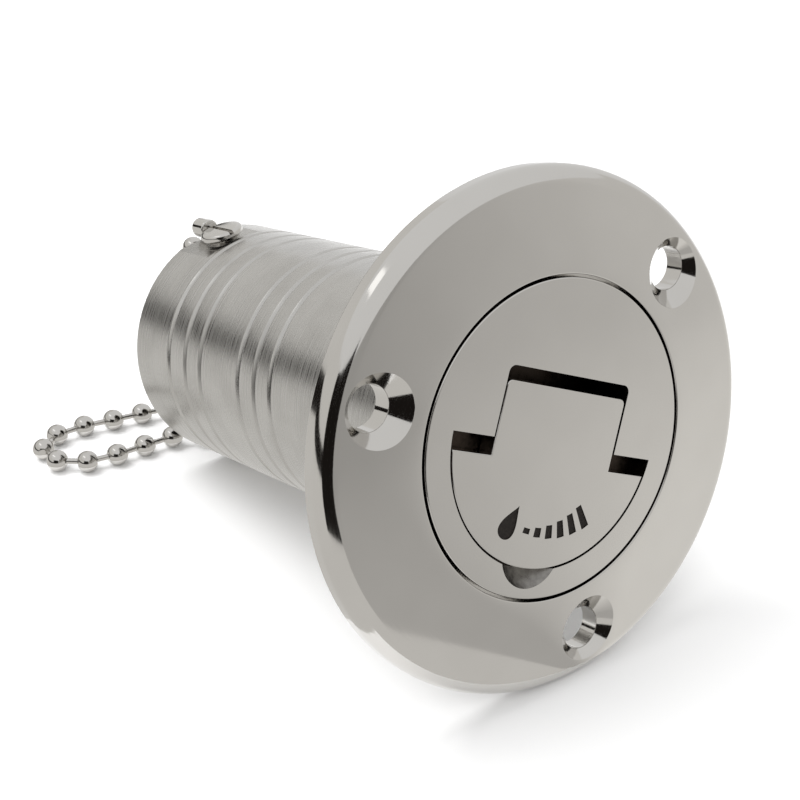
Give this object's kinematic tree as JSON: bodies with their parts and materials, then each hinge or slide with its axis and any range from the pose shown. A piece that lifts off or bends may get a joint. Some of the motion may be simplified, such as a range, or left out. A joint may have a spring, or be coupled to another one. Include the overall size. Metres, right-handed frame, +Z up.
{
  "type": "deck fill cap",
  "caption": "Flanged filler neck for a boat deck, with a flush screw cap, a flip-up lifting flap and a ball chain.",
  "frame": {"origin": "on the surface that the part lies on, under the middle of its footprint", "axes": "+Z up, +Y along the floor towards the neck's open tail, +X to the right of someone who looks along +Y at the face"},
  "size_m": [0.0898, 0.1318, 0.0883],
  "materials": {
    "polished_steel": "mirror-polished stainless steel, roughness about 0.12",
    "turned_steel": "turned stainless steel, roughness about 0.32",
    "seal_rubber": "black nitrile rubber"
  },
  "bodies": {
    "deck": {"deck_flange_neck": "polished_steel", "neck_chain_lug": "polished_steel", "neck_anchor_screw": "polished_steel", "neck_anchor_nut": "turned_steel", "chain_in_neck": "polished_steel", "chain_floor_loop": "polished_steel", "chain_to_lug": "polished_steel"},
    "swivel": {"cap_chain_eyelet": "polished_steel"},
    "cap": {"screw_cap": "polished_steel", "cap_o_ring": "seal_rubber", "flap_hinge_pin": "turned_steel", "cap_swivel_screw": "turned_steel", "cap_swivel_washer": "turned_steel"},
    "flap": {"lift_flap": "polished_steel"}
  },
  "joints": [
    {"name": "cap_lift", "type": "slide", "parent": "deck", "child": "swivel", "axis": [0, -0.9784, 0.2068], "range_m": [0, 0.0091]},
    {"name": "cap_turn", "type": "hinge", "parent": "swivel", "child": "cap", "pos_m": [0, -0.0496, 0.0453], "axis": [0, -0.9784, 0.2068], "range_deg": [0, 1080]},
    {"name": "flap_fold", "type": "hinge", "parent": "cap", "child": "flap", "pos_m": [0.00025, -0.04782, 0.04548], "axis": [-0.9107, 0.0854, 0.4042], "range_deg": [0, 90]}
  ],
  "couplings": [
    {"joint": "cap_lift", "follows": "cap_turn", "m_per_rad": 0.00047746}
  ]
}
